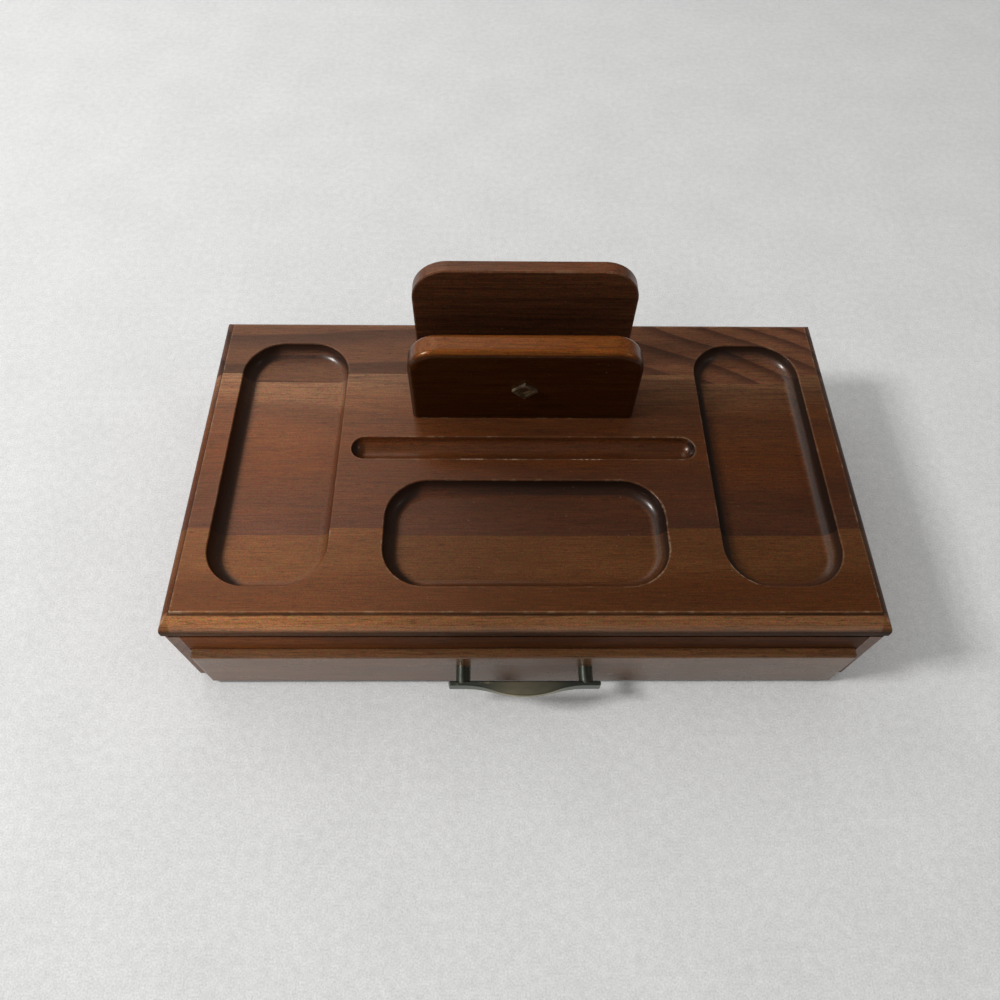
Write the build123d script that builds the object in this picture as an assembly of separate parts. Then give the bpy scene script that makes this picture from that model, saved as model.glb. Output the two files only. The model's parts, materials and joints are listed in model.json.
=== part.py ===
from build123d import *
import os

# Valet box: a moulded wooden top with trays, a pen groove and a letter rack, over a case with one drawer.
# Millimetres, +Z up, front towards -Y. The origin is on the table, under the centre of the case.

# Overall
top_width = 312.0
top_depth = 173.4
top_height = 63.5
top_thickness = 14.3

# Moulded edge of the top: a small step, a thumb curve, and a round towards the underside
edge_reach = 6.0
step_width = 0.8
step_depth = 1.2
thumb_radius = 9.5
under_radius = 3.0

# Boards of the top, glued edge to edge
front_board_width = 46.2
rear_board_width = 38.7

# Trays and pen groove; margins run from the edges of the top's flat surface
tray_depth = 7.0
tray_cove_radius = 6.0
tray_corner_radius = 19.4
tray_rim_radius = 0.5
tray_front_margin = 12.1
tray_back_margin = 12.9
side_tray_margin = 10.1
side_tray_width = 52.6
side_to_front_tray = 24.0
side_tray_to_groove = 5.5
front_tray_to_groove = 11.8
groove_to_rack = 11.0
groove_radius = 6.4
groove_depth = 5.5

# Letter rack
rack_back_margin = 21.2
rack_front_width = 107.0
rack_front_height = 46.4
rack_front_thickness = 12.7
rack_front_corner = 14.2
rack_front_round = 3.2
rack_slot = 19.4
rack_rear_width = 103.5
rack_rear_height = 63.5
rack_rear_thickness = 7.0
rack_rear_corner = 16.9
rack_rear_chamfer = 0.5
rack_screw_spacing = 64.0
boss_width = 12.0
boss_height = 10.0
boss_thickness = 1.6
boss_rim = 1.2
boss_recess = 0.8
boss_level = 22.0
boss_pin_radius = 0.8
boss_pin_length = 4.0

# Case
case_inset = 0.4
panel_thickness = 6.4
panel_edge_round = 1.2
back_thickness = 6.4
bottom_thickness = 5.0
rabbet_depth = 3.0
rail_height = 13.7
rail_thickness = 9.5
kicker_width = 9.5
kicker_screw_inset = 22.0
guide_width = 6.0
guide_height = 8.0
stop_width = 14.0
stop_depth = 8.0
stop_height = 12.0
stop_spacing = 180.0
felt_thickness = 2.0
felt_inset = 8.0

# Drawer
drawer_stand_out = 4.1
drawer_front_thickness = 12.7
drawer_front_round = 1.2
drawer_side_thickness = 6.0
drawer_side_drop = 4.5
drawer_bottom_thickness = 3.0
drawer_bottom_lift = 3.0
drawer_groove_depth = 2.5
drawer_housing_depth = 3.0
liner_thickness = 1.5

# Pull: a cast bar on two posts; its rise is from the middle of the drawer front
post_spacing = 56.0
post_radius = 3.3
pull_length = 69.0
pull_rise = 2.3
pull_standoff = 6.8
pull_end_depth = 2.2
pull_middle_depth = 7.0
pull_end_height = 6.0
pull_middle_height = 2.6
pull_edge_round = 0.7

# Screws
wood_screw_length = 24.0
wood_screw_radius = 1.3
wood_screw_head_radius = 2.8
wood_screw_head_depth = 1.8
machine_screw_radius = 1.9
machine_screw_head_radius = 3.8
machine_screw_head_depth = 2.2
machine_screw_grip = 5.0

# Clearances
drawer_front_gap = 0.7
running_gap = 0.4
liner_gap = 0.3
screw_gap = 0.15
push_fit_gap = 0.05
blind_end_gap = 0.2

# Places of the case, worked out from the sizes above
top_under = top_height - top_thickness
case_half_width = top_width / 2 - case_inset
case_front = -top_depth / 2 + case_inset
case_back = top_depth / 2 - case_inset
inner_half_width = case_half_width - panel_thickness
inner_back = case_back - back_thickness
rail_back = case_front + rail_thickness
rail_under = top_under - rail_height
floor_level = felt_thickness + bottom_thickness

# Places of the drawer
drawer_face = case_front - drawer_stand_out
drawer_front_back = drawer_face + drawer_front_thickness
bottom_front = drawer_front_back + drawer_front_gap
kicker_front = max(rail_back, bottom_front)
box_half_width = inner_half_width - guide_width - running_gap
box_inside = box_half_width - drawer_side_thickness
box_back = inner_back - stop_depth - running_gap
box_under = floor_level + running_gap
box_top = rail_under - drawer_side_drop
kicker_under = box_top + running_gap
drawer_front_top = rail_under - drawer_front_gap
bottom_under = box_under + drawer_bottom_lift
bottom_top = bottom_under + drawer_bottom_thickness
liner_top = bottom_top + liner_thickness

# The pull sits a little above the middle of the drawer front, with its screw heads clear of the liner
lowest_pull_level = liner_top + machine_screw_head_radius + running_gap
pull_level = max((felt_thickness + drawer_front_top) / 2 + pull_rise, lowest_pull_level)

# Places on the top, from the back for the rack and the groove, and from the front for the trays
flat_half_width = top_width / 2 - edge_reach
flat_half_depth = top_depth / 2 - edge_reach
front_joint = -top_depth / 2 + front_board_width
rear_joint = top_depth / 2 - rear_board_width
rack_rear_face = flat_half_depth - rack_back_margin - rack_rear_thickness
rack_front_face = rack_rear_face - rack_slot - rack_front_thickness
groove_middle = rack_front_face - groove_to_rack - groove_radius
tray_front = -flat_half_depth + tray_front_margin
side_tray_back = flat_half_depth - tray_back_margin
side_tray_outside = flat_half_width - side_tray_margin
side_tray_inside = side_tray_outside - side_tray_width
front_tray_back = groove_middle - groove_radius - front_tray_to_groove
front_tray_half_width = side_tray_inside - side_to_front_tray
groove_half_length = side_tray_inside - side_tray_to_groove

on_end = (Align.CENTER, Align.CENTER, Align.MIN)
forwards = Rot(90, 0, 0)
backwards = Rot(-90, 0, 0)


def block(x_low, x_high, y_low, y_high, z_low, z_high):
    """A box given by its limits."""
    centre = Pos((x_low + x_high) / 2, (y_low + y_high) / 2, (z_low + z_high) / 2)
    return centre * Box(x_high - x_low, y_high - y_low, z_high - z_low)


def left_of(piece):
    """The left twin of a piece of the right side."""
    return mirror(piece, about=Plane.YZ)


def rod(radius, length):
    return Cylinder(radius, length, align=on_end)


def pairs(x_spacing, y_places, height):
    """Places in pairs, left and right of the middle."""
    return [Pos(x, y, height) for x in (-x_spacing / 2, x_spacing / 2) for y in y_places]


def cut_at(solid, places, cutter):
    for place in places:
        solid -= place * cutter
    return solid


def group_at(places, solid):
    """Separate copies of one solid, kept together as a group."""
    return Compound([place * solid for place in places])


def save(name, shape):
    export_step(shape, f"parts/{name}.step")


def wood_screw(gap=0.0):
    """A plain countersunk screw that points up from its head at height 0; with a gap, the hole for it."""
    radius = wood_screw_radius + gap
    outline = Polyline(
        (0, 0),
        (wood_screw_head_radius + gap, 0),
        (radius, wood_screw_head_depth),
        (radius, wood_screw_length + gap),
        (0, wood_screw_length + gap),
        close=True,
    )
    return revolve(Plane.XZ * make_face(outline), Axis.Z)


def moulded_section(span):
    """Cross-section of the top over its moulded edges, with its underside at height 0."""
    half = span / 2
    run = thumb_radius - edge_reach + step_width
    rise = (thumb_radius**2 - run**2) ** 0.5
    thumb_centre = (half - thumb_radius, top_thickness - step_depth - rise)
    thumb_angle = Vector(1, 0, 0).get_angle(Vector(run, rise, 0))
    under = CenterArc((half - under_radius, under_radius), under_radius, -90, 90)
    thumb = CenterArc(thumb_centre, thumb_radius, 0, thumb_angle)
    step_foot = (half - edge_reach, top_thickness - step_depth)
    arris = (half - edge_reach, top_thickness)
    half_section = make_face([
        Line((0, 0), under @ 0),
        under,
        Line(under @ 1, thumb @ 0),
        thumb,
        Line(thumb @ 1, step_foot),
        Line(step_foot, arris),
        Line(arris, (0, top_thickness)),
        Line((0, top_thickness), (0, 0)),
    ])
    return half_section + left_of(half_section)


def tray_hollow(x_low, x_high, y_low, y_high):
    """A flat-bottomed tray with coved walls, as a solid to cut from the top."""
    width = x_high - x_low
    length = y_high - y_low
    corner_radius = min(tray_corner_radius, 0.49 * width, 0.49 * length)
    hollow = extrude(RectangleRounded(width, length, corner_radius), tray_depth)
    hollow = fillet(hollow.edges().group_by(Axis.Z)[0], tray_cove_radius)
    return Pos((x_low + x_high) / 2, (y_low + y_high) / 2, top_height - tray_depth) * hollow


def groove_hollow():
    """The pen groove as a round-nosed cutter leaves it: a half-round channel with ball ends."""
    end = groove_half_length - groove_radius
    channel = Rot(0, 90, 0) * Cylinder(groove_radius, 2 * end)
    for x in (-end, end):
        channel += Pos(x, 0, 0) * Sphere(groove_radius)
    return Pos(0, groove_middle, top_height - groove_depth + groove_radius) * channel


def make_top(screw_places):
    """The boards of the top, moulded, hollowed and drilled as one slab and then parted at the glue joints."""
    across = extrude(Plane.XZ * moulded_section(top_width), top_depth / 2, both=True)
    along = extrude(Plane.YZ * moulded_section(top_depth), top_width / 2, both=True)
    top = Pos(0, 0, top_under) * (across & along)
    side_tray = tray_hollow(side_tray_inside, side_tray_outside, tray_front, side_tray_back)
    front_tray = tray_hollow(
        -front_tray_half_width, front_tray_half_width, tray_front, front_tray_back
    )
    top = top - side_tray - left_of(side_tray) - front_tray
    surface = top.faces().sort_by(Axis.Z)[-1]
    rims = [edge for wire in surface.inner_wires() for edge in wire.edges()]
    top = fillet(rims, tray_rim_radius)
    top -= groove_hollow()
    top = cut_at(top, screw_places, wood_screw(screw_gap))

    half_width = top_width / 2
    half_depth = top_depth / 2
    board_limits = {
        "top_front_board": (-half_depth, front_joint),
        "top_middle_board": (front_joint, rear_joint),
        "top_rear_board": (rear_joint, half_depth),
    }
    for name, (y_low, y_high) in board_limits.items():
        save(name, top & block(-half_width, half_width, y_low, y_high, top_under, top_height))


def rack_board(width, height, thickness, corner_radius):
    """An upright board from height 0, with rounded upper corners, running back from y 0."""
    outline = Rectangle(width, height, align=(Align.CENTER, Align.MIN))
    outline = fillet(outline.vertices().group_by(Axis.Y)[-1], corner_radius)
    return extrude(Plane.XZ * outline, -thickness)


def outline_edges(board):
    """The edges around the front and the back of an upright board, but for those that it stands on."""
    faces = board.faces().sort_by(Axis.Y)
    return [edge for face in (faces[0], faces[-1]) for edge in face.edges() if edge.center().Z > 0.1]


def make_rack(screw_places):
    front = rack_board(rack_front_width, rack_front_height, rack_front_thickness, rack_front_corner)
    rear = rack_board(rack_rear_width, rack_rear_height, rack_rear_thickness, rack_rear_corner)
    front = Pos(0, rack_front_face, top_height) * fillet(outline_edges(front), rack_front_round)
    rear = Pos(0, rack_rear_face, top_height) * chamfer(outline_edges(rear), rack_rear_chamfer)
    boss_place = Pos(0, rack_front_face, top_height + boss_level)
    front -= boss_place * backwards * rod(boss_pin_radius + push_fit_gap, boss_pin_length + blind_end_gap)
    save("rack_front_board", cut_at(front, screw_places, wood_screw(screw_gap)))
    save("rack_rear_board", cut_at(rear, screw_places, wood_screw(screw_gap)))
    save("rack_screws", group_at(screw_places, wood_screw()))

    half_width = boss_width / 2
    half_height = boss_height / 2
    lozenge = Polygon((-half_width, 0), (0, -half_height), (half_width, 0), (0, half_height), align=None)
    boss = extrude(Plane.XZ * lozenge, boss_thickness)
    recess = extrude(Plane.XZ * offset(lozenge, -boss_rim), boss_recess)
    boss -= Pos(0, boss_recess - boss_thickness, 0) * recess
    save("rack_boss", boss_place * (boss + backwards * rod(boss_pin_radius, boss_pin_length)))


def make_case_sides(screw_places):
    bottom_back = inner_back + rabbet_depth
    rabbet_side = inner_half_width + rabbet_depth
    panel = block(inner_half_width, case_half_width, case_front, case_back, felt_thickness, top_under)
    outer_edges = panel.faces().sort_by(Axis.X)[-1].edges()
    panel = fillet([edge for edge in outer_edges if edge.center().Z < top_under], panel_edge_round)
    panel -= block(inner_half_width, rabbet_side, bottom_front, bottom_back, felt_thickness, floor_level)
    save("side_panel_right", panel)
    save("side_panel_left", left_of(panel))

    kicker_side = inner_half_width - kicker_width
    kicker = block(kicker_side, inner_half_width, kicker_front, inner_back, kicker_under, top_under)
    kicker = cut_at(kicker, screw_places, wood_screw(screw_gap))
    save("kicker_strip_right", kicker)
    save("kicker_strip_left", left_of(kicker))
    save("kicker_screws", group_at(screw_places, wood_screw()))

    guide_side = inner_half_width - guide_width
    guide_top = floor_level + guide_height
    guide = block(guide_side, inner_half_width, bottom_front, inner_back, floor_level, guide_top)
    save("drawer_guide_right", guide)
    save("drawer_guide_left", left_of(guide))


def make_case_middle():
    """The pieces that run from side to side, and the felt under them."""
    half = inner_half_width
    bottom_half = half + rabbet_depth
    bottom_back = inner_back + rabbet_depth
    back = block(-half, half, inner_back, case_back, felt_thickness, top_under)
    save("front_rail", block(-half, half, case_front, rail_back, rail_under, top_under))
    save("back_panel", back - block(-half, half, inner_back, bottom_back, felt_thickness, floor_level))
    bottom = block(-bottom_half, bottom_half, bottom_front, bottom_back, felt_thickness, floor_level)
    save("bottom_panel", bottom)

    stop = Box(stop_width, stop_depth, stop_height, align=(Align.CENTER, Align.MAX, Align.MIN))
    save("stop_blocks", group_at(pairs(stop_spacing, [inner_back], floor_level), stop))

    felt_half_width = bottom_half - felt_inset
    felt_front = bottom_front + felt_inset
    felt_back = bottom_back - felt_inset
    save("felt_base", block(-felt_half_width, felt_half_width, felt_front, felt_back, 0, felt_thickness))


def make_drawer(screw_places):
    half = inner_half_width - drawer_front_gap
    front = block(-half, half, drawer_face, drawer_front_back, felt_thickness, drawer_front_top)
    front = fillet(front.faces().sort_by(Axis.Y)[0].edges(), drawer_front_round)

    bottom_half = box_inside + drawer_groove_depth
    groove_front = drawer_front_back - drawer_groove_depth
    bottom = block(-bottom_half, bottom_half, groove_front, box_back, bottom_under, bottom_top)
    save("drawer_bottom", bottom)

    housing_front = drawer_front_back - drawer_housing_depth
    side = block(box_inside, box_half_width, housing_front, box_back, box_under, box_top)
    front = front - bottom - side - left_of(side)
    side -= bottom
    save("drawer_side_right", side)
    save("drawer_side_left", left_of(side))

    screw_hole = backwards * rod(machine_screw_radius + screw_gap, drawer_front_thickness)
    save("drawer_front", cut_at(front, screw_places, screw_hole))

    back_front = box_back - drawer_side_thickness
    save("drawer_back", block(-box_inside, box_inside, back_front, box_back, bottom_top, box_top))

    liner_half = box_inside - liner_gap
    liner_front = drawer_front_back + liner_gap
    liner_back = back_front - liner_gap
    save("drawer_liner", block(-liner_half, liner_half, liner_front, liner_back, bottom_top, liner_top))


def bowed_bar(end_size, middle_size):
    """Outline of the pull's bar: straight along height 0, and bowed below that between the posts."""
    end = pull_length / 2
    post = post_spacing / 2
    outer = TangentArc((post, -end_size), (post / 2, -(end_size + middle_size) / 2), tangent=(-1, 0))
    inner = TangentArc(outer @ 1, (0, -middle_size), tangent=outer % 1)
    half_outline = make_face([
        Line((0, 0), (end, 0)),
        Line((end, 0), (end, -end_size)),
        Line((end, -end_size), outer @ 0),
        outer,
        inner,
        Line(inner @ 1, (0, 0)),
    ])
    return half_outline + left_of(half_outline)


def make_pull(post_places):
    """The pull, cast in one piece: its bar bows forwards, and thins from below towards the middle."""
    from_above = extrude(bowed_bar(pull_end_depth, pull_middle_depth), -pull_end_height)
    from_front = extrude(Plane.XZ * bowed_bar(pull_end_height, pull_middle_height), pull_middle_depth)
    bar = from_above & from_front
    bar = fillet(bar.edges(), pull_edge_round)
    pull = Pos(0, drawer_face - pull_standoff, pull_level + pull_end_height / 2) * bar
    for place in post_places:
        pull += place * forwards * rod(post_radius, pull_standoff + pull_end_depth / 2)
    bore = forwards * rod(machine_screw_radius + push_fit_gap, machine_screw_grip + blind_end_gap)
    save("drawer_pull", cut_at(pull, post_places, bore))

    shank = forwards * rod(machine_screw_radius, drawer_front_thickness + machine_screw_grip)
    head = backwards * rod(machine_screw_head_radius, machine_screw_head_depth)
    head = chamfer(head.edges().sort_by(Axis.Y)[-1], machine_screw_head_depth / 3)
    screw = Pos(0, drawer_front_thickness, 0) * (shank + head)
    save("pull_screws", group_at(post_places, screw))


rack_front_middle = rack_front_face + rack_front_thickness / 2
rack_rear_middle = rack_rear_face + rack_rear_thickness / 2
rack_screw_places = pairs(rack_screw_spacing, [rack_front_middle, rack_rear_middle], top_under)
kicker_spacing = 2 * inner_half_width - kicker_width
kicker_screw_rows = [kicker_front + kicker_screw_inset, inner_back - kicker_screw_inset]
kicker_screw_places = pairs(kicker_spacing, kicker_screw_rows, kicker_under)
pull_places = pairs(post_spacing, [drawer_face], pull_level)

os.makedirs("parts", exist_ok=True)
make_top(kicker_screw_places + rack_screw_places)
make_rack(rack_screw_places)
make_case_sides(kicker_screw_places)
make_case_middle()
make_drawer(pull_places)
make_pull(pull_places)
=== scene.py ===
"""Looks of the valet box: waxed walnut boards, antique brass and felt, on a pale cloth.

Materials work in millimetres of the part's own frame: +Z up, front towards -Y.
"""
import json
import math
from types import SimpleNamespace

import bpy
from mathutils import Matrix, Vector

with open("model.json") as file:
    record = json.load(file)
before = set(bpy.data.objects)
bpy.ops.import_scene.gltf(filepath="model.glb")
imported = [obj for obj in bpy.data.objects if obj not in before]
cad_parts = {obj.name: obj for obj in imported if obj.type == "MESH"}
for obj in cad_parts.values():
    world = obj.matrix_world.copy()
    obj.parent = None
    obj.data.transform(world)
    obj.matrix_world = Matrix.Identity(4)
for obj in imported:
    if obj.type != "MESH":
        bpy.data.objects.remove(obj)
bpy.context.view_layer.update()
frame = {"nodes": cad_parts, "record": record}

mm_per_metre = 1000

# Half sizes of the top's flat surface, inside its moulded edge
flat_half_width = 150.0
flat_half_depth = 80.7

# Every fade is a pair of values: where it is 0 and where it is 1

# Fades by place: away from the middle, towards the front, to the right (painted shade on coves), to the left
# (painted light) and to the middle
side_trays = (78, 80)
front_tray = (-11, -14)
painted_shade_rightwards = (-60, 20)
painted_light_leftwards = (0, -140)
handled = (22, 4)

# A fade down from the top of the walls
wall_top_fade = 0.6

# Fades by how far a point lies outside the flat surface; two of them bound a strip
within_flat = (-0.1, -0.4)
rim_strip = ((-0.8, -0.35), (0.1, -0.05))
step_strip = ((-0.05, 0.15), (1.4, 0.8))
nose_start = (0.5, 1.0)
end_start = (0.3, 1.5)

# Fades by the surface's normal: its Z part, and for the left-hand coves its X part
wall_slope = (0.85, 0.35)
cove_slope = (0.995, 0.9)
nose_slope = (0.42, 0.12)
underside_slope = (0.1, -0.4)
left_cove_tilt = (0.05, 0.25)

# Fades by the distance to a glue line, by the cosine of an edge's turn, and across one growth ring
glue_line = (0.9, 1.6)
edge_turn = (0.99, 0.88)
late_wood = ((0.35, 0.9), (1.0, 0.93))

# The growth rings' centre lies this far under the part's base, and they sway this far to both sides
pith_depth = 60
ring_sway = 14

# Factors on the colour: painted shade on undersides, a painted highlight with wear on the rim, a painted
# shadow in the moulding's step, painted shade on its nose, and darker ends
underside_painted_shade = 0.4
rim_highlight_and_wear = 1.1
step_painted_shadow = 0.25
nose_painted_shade = 0.25
end_shade = 0.75

# Factors on the gloss and on the coat of wax, and two places' own gloss and coat
wall_gloss_factor = 0.3
dull_gloss_factor = 0.05
cove_gloss_factor = 0.5
dull_coat_factor = 0.2
underside_gloss = 0.1
cove_coat = 0.5

bare_wood = (0.5, 0.36, 0.23)
# The dark colour of the painted shade on the trays' walls and left-hand coves
painted_shade_colour = (0.026, 0.014, 0.01)
dust_colour = (0.3, 0.24, 0.19)
dark_streak = (0.03, 0.012, 0.007)
wax_tint = (1.0, 0.5, 0.25)
cove_tint = (1.0, 0.9, 0.8)

materials = {}


def add(tree, kind, inputs=None, **settings):
    """A node with its settings, and with each input set to a value or linked to a socket."""
    node = tree.nodes.new(kind)
    for name, value in settings.items():
        setattr(node, name, value)
    for name, value in (inputs or {}).items():
        if isinstance(value, bpy.types.NodeSocket):
            tree.links.new(value, node.inputs[name])
        else:
            node.inputs[name].default_value = value
    return node


def calc(tree, operation, *values):
    node = add(tree, "ShaderNodeMath", dict(enumerate(values)), operation=operation)
    return node.outputs[0]


def vector_calc(tree, operation, inputs):
    return add(tree, "ShaderNodeVectorMath", inputs, operation=operation).outputs[0]


def measure(tree, operation, first, second):
    """A number that two vectors give, such as their distance."""
    return add(tree, "ShaderNodeVectorMath", {0: first, 1: second}, operation=operation).outputs["Value"]


def fade(tree, value, start, end):
    """0 at start and 1 at end, smooth in between."""
    inputs = {"Value": value, "From Min": start, "From Max": end}
    return add(tree, "ShaderNodeMapRange", inputs, interpolation_type="SMOOTHSTEP").outputs["Result"]


def spread(tree, value, low, high):
    """A 0 to 1 value spread from low to high."""
    inputs = {"Value": value, "To Min": low, "To Max": high}
    return add(tree, "ShaderNodeMapRange", inputs).outputs["Result"]


def product(tree, *values):
    result = values[0]
    for value in values[1:]:
        result = calc(tree, "MULTIPLY", result, value)
    return result


def within(tree, value, lower, upper):
    """1 between two fades and 0 beyond them."""
    return product(tree, fade(tree, value, *lower), fade(tree, value, *upper))


def factor_in(tree, zone, factor):
    """This factor where the zone is 1, and a factor of 1 where it is 0."""
    return spread(tree, zone, 1.0, factor)


def mix(tree, amount, first, second):
    """The first colour at 0 and the second at 1."""
    node = add(tree, "ShaderNodeMix", data_type="RGBA")
    for socket, value in zip((node.inputs[0], node.inputs[6], node.inputs[7]), (amount, first, second)):
        if isinstance(value, bpy.types.NodeSocket):
            tree.links.new(value, socket)
        else:
            socket.default_value = value
    return node.outputs[2]


def rgba(colour):
    return (*colour, 1.0)


def brighten(tree, colour, factor):
    """The colour times a factor."""
    return vector_calc(tree, "SCALE", {0: colour, "Scale": factor})


def ramp(tree, value, stops):
    """A colour that runs through the stops, each a position from 0 to 1 and a colour."""
    node = add(tree, "ShaderNodeValToRGB", {"Fac": value})
    elements = node.color_ramp.elements
    while len(elements) < len(stops):
        elements.new(0.5)
    for element, (position, colour) in zip(elements, stops):
        element.position = position
        element.color = rgba(colour)
    return node.outputs["Color"]


def place_in_mm(tree, turn=0.0, shift=(0, 0, 0)):
    """The point's place in the part, in millimetres, turned about Z and shifted."""
    place = add(tree, "ShaderNodeTexCoord").outputs["Object"]
    inputs = {"Vector": place, "Location": shift, "Rotation": (0, 0, turn), "Scale": [mm_per_metre] * 3}
    return add(tree, "ShaderNodeMapping", inputs).outputs["Vector"]


def split(tree, vector):
    axes = add(tree, "ShaderNodeSeparateXYZ", {"Vector": vector}).outputs
    return axes["X"], axes["Y"], axes["Z"]


def surface_normal(tree):
    return add(tree, "ShaderNodeNewGeometry").outputs["Normal"]


def noise(tree, place, lengths, detail=3.0):
    """Noise from about 0.2 to 0.8 with features of these lengths in millimetres along X, Y and Z."""
    scaled = vector_calc(tree, "MULTIPLY", {0: place, 1: [1 / length for length in lengths]})
    return add(tree, "ShaderNodeTexNoise", {"Vector": scaled, "Scale": 1.0, "Detail": detail}).outputs["Fac"]


def speckled(tree, colour, place, length, amount):
    """The colour with fine specks, lighter and darker and slightly off in hue."""
    scaled = vector_calc(tree, "SCALE", {0: place, "Scale": 1 / length})
    inputs = {"Vector": scaled, "Scale": 1.0, "Detail": 1.0}
    specks = add(tree, "ShaderNodeTexNoise", inputs).outputs["Color"]
    factor = vector_calc(tree, "MULTIPLY_ADD", {0: specks, 1: [amount] * 3, 2: [1 - amount / 2] * 3})
    return vector_calc(tree, "MULTIPLY", {0: colour, 1: factor})


def near_spots(tree, place, spots):
    """1 on the spots, seen from above, and 0 away from them; each spot is x, y and its reach."""
    flat = vector_calc(tree, "MULTIPLY", {0: place, 1: (1, 1, 0)})
    nearest = 0.0
    for x, y, reach in spots:
        away = measure(tree, "DISTANCE", flat, (x, y, 0))
        nearest = calc(tree, "MAXIMUM", fade(tree, away, reach, 0.6 * reach), nearest)
    return nearest


def new_material(name):
    """The empty tree of a new material, which goes into materials."""
    material = bpy.data.materials.new(name)
    material.use_nodes = True
    material.node_tree.nodes.clear()
    materials[name] = material
    return material.node_tree


def finish_material(tree, shader_inputs, relief, relief_mm):
    """Puts the shader and its relief in place; relief is 0 to 1 and stands for relief_mm."""
    distance = relief_mm / mm_per_metre
    bump = add(tree, "ShaderNodeBump", {"Height": relief, "Strength": 1.0, "Distance": distance})
    shader = add(tree, "ShaderNodeBsdfPrincipled", {**shader_inputs, "Normal": bump.outputs["Normal"]})
    add(tree, "ShaderNodeOutputMaterial", {"Surface": shader.outputs["BSDF"]})


def edge_mask(tree, radius_mm):
    """Near 1 on edges and 0 away from them."""
    radius = radius_mm / mm_per_metre
    rounded = add(tree, "ShaderNodeBevel", {"Radius": radius}, samples=6).outputs["Normal"]
    return fade(tree, measure(tree, "DOT_PRODUCT", rounded, surface_normal(tree)), *edge_turn)


def away_from(tree, y, joints):
    """0 at the glue joints and 1 from about a millimetre and a half away."""
    amount = 1.0
    for joint in joints:
        distance = calc(tree, "ABSOLUTE", calc(tree, "SUBTRACT", y, joint))
        amount = product(tree, fade(tree, distance, *glue_line), amount)
    return amount


def growth_rings(tree, place, ring_width, slant, slant_start):
    """1 in the dark wood of each ring; past slant_start along the board, the rings drift across it."""
    x, y, z = split(tree, place)
    sway = spread(tree, noise(tree, place, (140, 60, 60), detail=1.0), -ring_sway, ring_sway)
    drift = product(tree, calc(tree, "MAXIMUM", calc(tree, "SUBTRACT", x, slant_start), 0), slant)
    across = calc(tree, "ADD", calc(tree, "ADD", y, sway), drift)
    depth = calc(tree, "ADD", z, pith_depth)
    squares = calc(tree, "ADD", calc(tree, "POWER", across, 2), calc(tree, "POWER", depth, 2))
    ring = calc(tree, "FRACT", calc(tree, "DIVIDE", calc(tree, "SQRT", squares), ring_width))
    return within(tree, ring, *late_wood)


def colour_bands(tree, place, bands, band_start, band_width, wander):
    """Bands of colour across the board, from band_start over band_width, with wandering borders."""
    position = calc(tree, "DIVIDE", calc(tree, "SUBTRACT", split(tree, place)[1], band_start), band_width)
    drift = spread(tree, noise(tree, place, (50, 8, 8)), -wander, wander)
    return ramp(tree, calc(tree, "ADD", position, drift), bands)


def worn_edges(tree, place, box_place, wear, joints, spots):
    """How far the finish is gone: in patches along the edges, and in flakes around the spots."""
    patches = fade(tree, noise(tree, place, (5, 5, 5), detail=4.0), 0.52, 0.64)
    rubbed = spread(tree, patches, 0.15 * wear, 0.7 * wear)
    flakes = fade(tree, noise(tree, place, (2, 2, 2)), 0.42, 0.52)
    chipped = product(tree, near_spots(tree, box_place, spots), flakes, 0.85)
    off_joints = away_from(tree, split(tree, box_place)[1], joints)
    return product(tree, edge_mask(tree, 1.5), off_joints, calc(tree, "MAXIMUM", rubbed, chipped))


def find_on_box(tree, place, wall_top):
    """Where a point lies on the box, with masks of 1 on the walls inside the moulding and on undersides."""
    x, y, z = split(tree, place)
    tilt, _, slope = split(tree, surface_normal(tree))
    half_x = calc(tree, "ABSOLUTE", x)
    outside_ends = calc(tree, "SUBTRACT", half_x, flat_half_width)
    outside_sides = calc(tree, "SUBTRACT", calc(tree, "ABSOLUTE", y), flat_half_depth)
    outside = calc(tree, "MAXIMUM", outside_ends, outside_sides)
    under_top = fade(tree, z, wall_top, wall_top - wall_top_fade)
    inside = product(tree, fade(tree, outside, *within_flat), under_top)
    wall = product(tree, fade(tree, slope, *wall_slope), inside)
    underside = fade(tree, slope, *underside_slope)
    return SimpleNamespace(
        x=x, y=y, half_x=half_x, tilt=tilt, slope=slope, outside_ends=outside_ends, outside=outside,
        inside=inside, wall=wall, underside=underside,
    )


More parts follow.
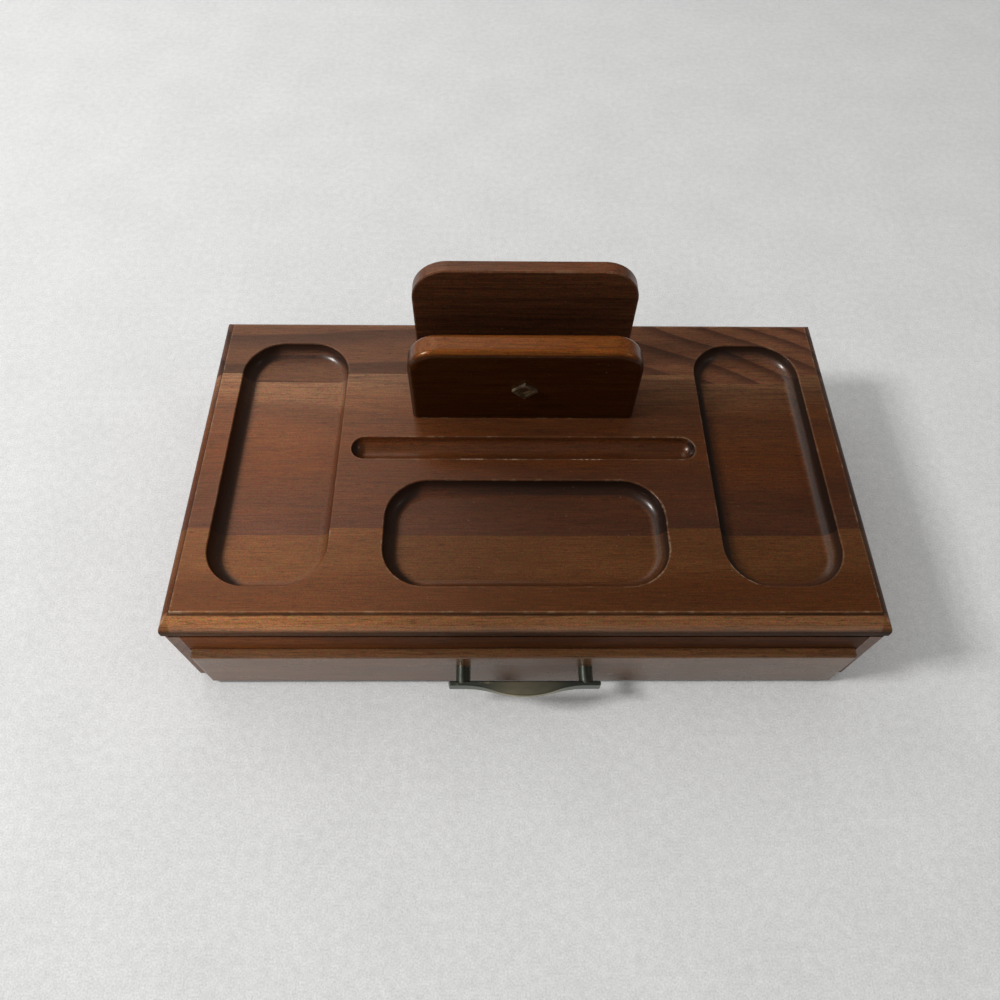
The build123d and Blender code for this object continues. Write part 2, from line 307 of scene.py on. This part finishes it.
def paint_light_and_gloss_on_top(tree, point, colour, shader_inputs, tray_painted_shade, cove_painted_shade):
    """The top's colour and shader inputs with painted light and shade, and where wear can show.

    Painted shade lies on the trays' walls and left-hand coves. The step of the moulding holds a painted
    shadow line, the rim a painted highlight, and the nose painted shade; the nose and ends are dull, and the
    ends darker.
    The coves are glossy, and a painted shade darkens them towards the right by the given factor.
    """
    trays = calc(tree, "MAXIMUM", fade(tree, point.half_x, *side_trays), fade(tree, point.y, *front_tray))
    left_cove = product(tree, fade(tree, point.tilt, *left_cove_tilt), point.inside)
    # Painted shade on the trays' walls and left-hand coves
    shaded_walls = product(tree, calc(tree, "MAXIMUM", point.wall, left_cove), trays, tray_painted_shade)
    colour = mix(tree, shaded_walls, colour, rgba(painted_shade_colour))

    rim = within(tree, point.outside, *rim_strip)
    step = within(tree, point.outside, *step_strip)
    nose = product(tree, fade(tree, point.slope, *nose_slope), fade(tree, point.outside, *nose_start))
    end = fade(tree, point.outside_ends, *end_start)
    hollow = product(tree, fade(tree, point.slope, *cove_slope), point.inside)
    cove = product(tree, hollow, trays)
    # Painted shade on the trays' coves, towards the right
    shaded_cove = product(tree, cove, fade(tree, point.x, *painted_shade_rightwards))
    # A painted highlight with wear on the rim, a painted shadow in the step, painted shade on the nose and
    # coves, darker ends
    shades = (
        (rim, rim_highlight_and_wear), (step, step_painted_shadow), (nose, nose_painted_shade), (end, end_shade), (shaded_cove, cove_painted_shade),
    )
    for zone, shade in shades:
        colour = brighten(tree, colour, factor_in(tree, zone, shade))

    dull = calc(tree, "MAXIMUM", nose, end)
    unwaxed = calc(tree, "MAXIMUM", product(tree, left_cove, trays), dull)
    coat = spread(tree, hollow, shader_inputs["Coat Weight"], cove_coat)
    aged_inputs = {
        "Specular IOR Level": product(
            tree, shader_inputs["Specular IOR Level"],
            factor_in(tree, dull, dull_gloss_factor), factor_in(tree, cove, cove_gloss_factor),
        ),
        "Specular Tint": mix(tree, cove, shader_inputs["Specular Tint"], rgba(cove_tint)),
        "Coat Weight": product(tree, coat, factor_in(tree, unwaxed, dull_coat_factor)),
    }
    off_step = factor_in(tree, step, 0.0)
    return colour, aged_inputs, off_step


def wood(
    name, bands, streak_colour, band_start=-100, band_width=200, wander=0.1, turn=0.0, shift=0,
    ring_width=5.0, ring_strength=0.35, slant=0.0, slant_start=0.0, streaks=0.55, left_painted_light=1.0,
    wear=0.5, joints=(), spots=(), wall_painted_shade=1.0, wall_top=63.2, tray_painted_shade=0.0, cove_painted_shade=0.85,
    roughness=0.4, gloss=0.5, tint=wax_tint, coat=0.15,
):
    """Waxed wood with its grain along X: bands of colour across the board, growth rings, streaks and pores.

    Each wood has its own shift along the grain, so that no two show the same figure. A factor on the colour
    towards the left paints light there. Walls inside the top's moulding, and below wall_top, are darkened by
    a factor as painted shade, and undersides are dull and darkened as painted shade. Wood given painted
    shade for its trays gets the top boards' painted light and shade.
    """
    tree = new_material(name)
    box_place = place_in_mm(tree)
    place = place_in_mm(tree, turn, (shift, 0, 0))
    point = find_on_box(tree, box_place, wall_top)

    rings = growth_rings(tree, place, ring_width, slant, slant_start)
    fibres = fade(tree, noise(tree, place, (35, 0.9, 0.9), detail=4.0), 0.45, 0.72)
    lines = noise(tree, place, (16, 0.5, 0.5), detail=2.0)
    broad = noise(tree, place, (70, 18, 18), detail=2.0)
    pores = fade(tree, noise(tree, place, (5, 0.5, 0.5), detail=2.0), 0.56, 0.68)

    colour = colour_bands(tree, place, bands, band_start, band_width, wander)
    colour = mix(tree, product(tree, fibres, streaks), colour, rgba(streak_colour))
    colour = mix(tree, product(tree, rings, ring_strength), colour, rgba(streak_colour))
    colour = brighten(tree, colour, spread(tree, broad, 0.66, 1.34))
    colour = brighten(tree, colour, spread(tree, lines, 0.4, 1.6))
    colour = speckled(tree, colour, place, length=0.6, amount=1.7)
    pore_colour = [0.35 * part for part in streak_colour]
    colour = mix(tree, product(tree, pores, 0.5), colour, rgba(pore_colour))
    # Painted light: the colour is lighter towards the left
    colour = brighten(tree, colour, factor_in(tree, fade(tree, point.x, *painted_light_leftwards), left_painted_light))
    # Painted shade on walls inside the moulding
    colour = brighten(tree, colour, factor_in(tree, point.wall, wall_painted_shade))
    # Painted shade on undersides
    colour = brighten(tree, colour, factor_in(tree, point.underside, underside_painted_shade))

    gloss_by_side = spread(tree, point.underside, gloss, underside_gloss)
    shader_inputs = {
        "Specular IOR Level": product(tree, gloss_by_side, factor_in(tree, point.wall, wall_gloss_factor)),
        "Specular Tint": rgba(tint),
        "Coat Weight": coat,
    }
    open_to_wear = 1.0
    # Painted light and shade, and gloss, of the top's boards
    if tray_painted_shade:
        colour, shader_inputs, open_to_wear = paint_light_and_gloss_on_top(tree, point, colour, shader_inputs, tray_painted_shade, cove_painted_shade)

    worn = product(tree, worn_edges(tree, place, box_place, wear, joints, spots), open_to_wear)
    colour = mix(tree, worn, colour, rgba(bare_wood))
    dust = fade(tree, noise(tree, place, (1.1, 1.1, 1.1), detail=1.0), 0.77, 0.82)
    colour = mix(tree, product(tree, dust, 0.3), colour, rgba(dust_colour))

    shine = spread(tree, noise(tree, place, (25, 12, 12)), roughness - 0.07, roughness + 0.07)
    relief = calc(tree, "SUBTRACT", product(tree, lines, 0.4), product(tree, pores, 0.6))
    finish_material(tree, {
        **shader_inputs,
        "Base Color": colour,
        "Roughness": shine,
        "IOR": 1.5,
        "Coat Roughness": 0.2,
    }, relief, relief_mm=0.04)


def metal(name, deep, bright, rubbed_from, rubbed_to, roughness, middle=0.0):
    """Old metal: a dark film, rubbed through to the bright metal on the edges and here and there.

    middle is how far it is rubbed through where hands take hold, in the middle of its width.
    """
    tree = new_material(name)
    place = place_in_mm(tree)
    cloud = noise(tree, place, (5, 2.5, 2.5), detail=4.0)
    scratches = noise(tree, place, (6, 0.25, 0.25), detail=2.0)
    touch = spread(tree, noise(tree, place, (14, 6, 6), detail=2.0), 0.1, 1.6)
    near_middle = fade(tree, calc(tree, "ABSOLUTE", split(tree, place)[0]), *handled)
    polished = product(tree, near_middle, middle, touch)
    edges = product(tree, edge_mask(tree, 0.4), 0.5)
    patches = fade(tree, cloud, rubbed_from, rubbed_to)
    rubbed = calc(tree, "MAXIMUM", patches, calc(tree, "MAXIMUM", edges, polished))
    finish_material(tree, {
        "Base Color": mix(tree, rubbed, rgba(deep), rgba(bright)),
        "Roughness": spread(tree, cloud, roughness - 0.08, roughness + 0.12),
        "Metallic": 1.0,
    }, scratches, relief_mm=0.015)


def felt(name, light, dark):
    tree = new_material(name)
    place = place_in_mm(tree)
    fuzz = noise(tree, place, (0.5, 0.5, 0.5))
    cloud = noise(tree, place, (14, 14, 14), detail=2.0)
    amount = calc(tree, "ADD", product(tree, fuzz, 0.6), product(tree, cloud, 0.4))
    finish_material(tree, {
        "Base Color": mix(tree, fade(tree, amount, 0.3, 0.7), rgba(dark), rgba(light)),
        "Roughness": spread(tree, cloud, 0.9, 1.0),
        "Sheen Weight": 0.25,
        "Sheen Roughness": 0.5,
    }, fuzz, relief_mm=0.4)


def pale_cloth(name):
    tree = new_material(name)
    place = place_in_mm(tree)
    nap = noise(tree, place, (0.8, 0.8, 0.8))
    tufts = noise(tree, place, (4, 4, 4), detail=4.0)
    cloud = noise(tree, place, (45, 45, 45))
    colour = mix(tree, cloud, rgba((0.7, 0.7, 0.69)), rgba((0.8, 0.8, 0.79)))
    colour = brighten(tree, colour, spread(tree, nap, 0.7, 1.3))
    colour = brighten(tree, colour, spread(tree, tufts, 0.88, 1.12))
    finish_material(
        tree, {"Base Color": colour, "Roughness": spread(tree, cloud, 0.9, 1.0)}, tufts, relief_mm=0.25,
    )


def one_colour(colour):
    return [(0.0, colour), (1.0, colour)]


def make_materials():
    """Makes the material of each slot. Bands of colour run from a board's front edge to its back edge."""
    # The boards of the top. Their chipped edges are given as x, y and reach, and their glue joints as y
    chipped_edges = [
        (60, -27, 8), (63, -46, 12), (58, -65, 8), (94, -63, 9), (-63, -48, 3), (-57, -64, 3),
        (-25, -4, 9), (-5, -4, 6), (30, -4, 9), (-150, -81, 7), (-88, -43, 3),
    ]
    # On the top boards, walls and left-hand coves get painted shade
    top_board = {"joints": (-40.5, 48.0), "spots": chipped_edges, "wall_painted_shade": 0.7, "tray_painted_shade": 0.85}
    # The factor towards the left on each wood below is painted light
    wood(
        "front_board_wood",
        [
            # The first two stops lie on the moulded front edge and are lighter: partly the wood's own tone,
            # partly painted light where the moulding faces the light
            (0.0, (0.2, 0.082, 0.031)), (0.11, (0.19, 0.079, 0.03)), (0.15, (0.068, 0.019, 0.004)),
            (0.42, (0.068, 0.019, 0.004)), (0.6, (0.093, 0.032, 0.009)), (1.0, (0.097, 0.034, 0.01)),
        ],
        (0.06, 0.02, 0.007), band_start=-87, band_width=47, wander=0.02, ring_width=9, ring_strength=0.15,
        streaks=0.3, left_painted_light=2.15, coat=0.3, **top_board,
    )
    wood(
        "middle_board_wood",
        [
            (0.0, (0.056, 0.018, 0.009)), (0.12, (0.06, 0.018, 0.007)), (0.45, (0.078, 0.02, 0.004)),
            (0.75, (0.092, 0.028, 0.008)), (0.97, (0.136, 0.06, 0.026)), (1.0, (0.148, 0.066, 0.029)),
        ],
        dark_streak, band_start=-40, band_width=87, shift=300, ring_width=6, ring_strength=0.3, streaks=0.5,
        left_painted_light=2.3, cove_painted_shade=0.5, coat=0.3, **top_board,
    )
    wood(
        "rear_board_wood", [(0.0, (0.134, 0.052, 0.025)), (1.0, (0.16, 0.063, 0.03))], (0.05, 0.02, 0.013),
        band_start=47, band_width=40, shift=700, ring_width=9, ring_strength=0.85, slant=0.5,
        slant_start=720, streaks=0.35, left_painted_light=0.92, **top_board,
    )

    # The case and the letter rack
    wood(
        "side_panel_wood", one_colour((0.12, 0.05, 0.025)), dark_streak, turn=math.radians(90), shift=1500,
        left_painted_light=1.5,
    )
    wood(
        "rail_wood", one_colour((0.075, 0.021, 0.004)), dark_streak, shift=2300, wear=0.0, left_painted_light=3.2,
        roughness=0.55, gloss=0.1, coat=0.0,
    )
    wood("back_panel_wood", one_colour((0.12, 0.05, 0.025)), dark_streak, shift=3100)
    # The rack boards' upright faces get painted shade
    wood(
        "rack_front_wood", one_colour((0.175, 0.047, 0.006)), (0.06, 0.015, 0.003), shift=3900, ring_width=8,
        ring_strength=0.2, roughness=0.33, wall_painted_shade=0.2, wall_top=130, coat=0.2,
    )
    wood(
        "rack_rear_wood", one_colour((0.14, 0.048, 0.02)), dark_streak, shift=4700, ring_width=6,
        ring_strength=0.3, roughness=0.36, wall_painted_shade=0.6, wall_top=130,
    )

    # The drawer's front, and the bare wood inside
    wood(
        "drawer_front_wood", one_colour((0.13, 0.055, 0.021)), (0.05, 0.02, 0.009), shift=5500, ring_width=9,
        ring_strength=0.2, streaks=0.35, left_painted_light=1.5, roughness=0.28, gloss=0.75, tint=(1.0, 0.9, 0.78),
    )
    wood(
        "plain_wood", [(0.0, (0.42, 0.27, 0.15)), (1.0, (0.46, 0.31, 0.18))], (0.27, 0.15, 0.07),
        shift=6300, streaks=0.3, wear=0.0, roughness=0.6,
    )
    wood(
        "drawer_box_wood", [(0.0, (0.45, 0.3, 0.17)), (1.0, (0.49, 0.33, 0.2))], (0.3, 0.17, 0.08),
        shift=7100, streaks=0.3, wear=0.0, roughness=0.6,
    )

    # Metal and felt
    metal("pull_brass", (0.14, 0.155, 0.13), (0.52, 0.45, 0.29), 0.62, 0.78, roughness=0.32, middle=0.75)
    metal("boss_brass", (0.2, 0.15, 0.09), (0.5, 0.4, 0.26), 0.45, 0.65, roughness=0.4)
    metal("screw_steel", (0.25, 0.24, 0.23), (0.5, 0.49, 0.47), 0.35, 0.6, roughness=0.35)
    for name in ("base_felt", "liner_felt"):
        felt(name, light=(0.03, 0.085, 0.05), dark=(0.012, 0.04, 0.022))


def dress_pieces():
    """Gives each piece the material of its slot."""
    slot_of = {part["node"]: part["material_slot"] for part in frame["record"]["subparts"]}
    for node, piece in frame["nodes"].items():
        piece.data.materials.clear()
        piece.data.materials.append(materials[slot_of[node]])


def make_floor():
    pale_cloth("cloth_floor")
    bpy.ops.mesh.primitive_plane_add(size=6)
    floor = bpy.context.object
    floor.name = "cloth_floor"
    floor.data.materials.append(materials["cloth_floor"])


def area_light(name, place, size, watts, colour):
    """A square light at a place in metres, aimed at the middle of the box."""
    box_middle = Vector((0, 0, 0.05))
    light = bpy.data.lights.new(name, "AREA")
    light.size = size
    light.energy = watts
    light.color = colour
    holder = bpy.data.objects.new(name, light)
    holder.location = place
    holder.rotation_mode = "QUATERNION"
    holder.rotation_quaternion = (box_middle - Vector(place)).to_track_quat("-Z", "Y")
    bpy.context.scene.collection.objects.link(holder)


def make_world():
    """A nearly even room, a little lighter above.

    The camera sees it pale. In reflections it is dark, with a bright pane high up behind the box, to the
    left.
    """
    world = bpy.data.worlds.new("room")
    world.use_nodes = True
    tree = world.node_tree
    tree.nodes.clear()
    direction = add(tree, "ShaderNodeTexCoord").outputs["Generated"]
    almost_up = (-0.1, -0.1, 0.99)
    above = fade(tree, measure(tree, "DOT_PRODUCT", direction, almost_up), -0.2, 0.8)
    room = mix(tree, above, rgba((0.41, 0.41, 0.41)), rgba((0.42, 0.42, 0.425)))
    sideways, backwards, upwards = split(tree, direction)
    pane = product(
        tree, within(tree, sideways, (-0.5, -0.33), (0.1, -0.2)),
        fade(tree, backwards, 0.1, 0.3), fade(tree, upwards, 0.4, 0.7),
    )
    reflected = mix(tree, pane, rgba((0.08, 0.08, 0.08)), rgba((0.9, 0.9, 0.9)))
    rays = add(tree, "ShaderNodeLightPath").outputs
    seen = calc(tree, "MAXIMUM", rays["Is Camera Ray"], rays["Is Transmission Ray"])
    colour = mix(tree, rays["Is Glossy Ray"], room, reflected)
    colour = mix(tree, seen, colour, rgba((0.8, 0.8, 0.79)))
    background = add(tree, "ShaderNodeBackground", {"Color": colour, "Strength": 1.0})
    add(tree, "ShaderNodeOutputWorld", {"Surface": background.outputs[0]})
    bpy.context.scene.world = world


def make_camera():
    """The photograph's viewing angle."""
    camera = bpy.data.cameras.new("camera")
    camera.lens = 28.11
    camera.sensor_width = 36
    camera.clip_start = 0.01
    holder = bpy.data.objects.new("camera", camera)
    holder.location = (-0.01606, -0.20847, 0.36855)
    holder.rotation_euler = [math.radians(angle) for angle in (30.907, -0.7, -0.301)]
    bpy.context.scene.collection.objects.link(holder)
    bpy.context.scene.camera = holder


make_materials()
dress_pieces()
make_floor()
area_light("key", (-1.25, -0.2, 1.2), size=0.32, watts=17.5, colour=(1.0, 1.0, 1.0))
area_light("window", (-0.5, 0.85, 0.75), size=1.1, watts=2.5, colour=(1.0, 1.0, 1.0))
area_light("lamp", (0.75, -0.2, 0.6), size=0.12, watts=0.3, colour=(1.0, 0.96, 0.9))
make_world()
make_camera()
bpy.context.scene.view_settings.view_transform = "Standard"
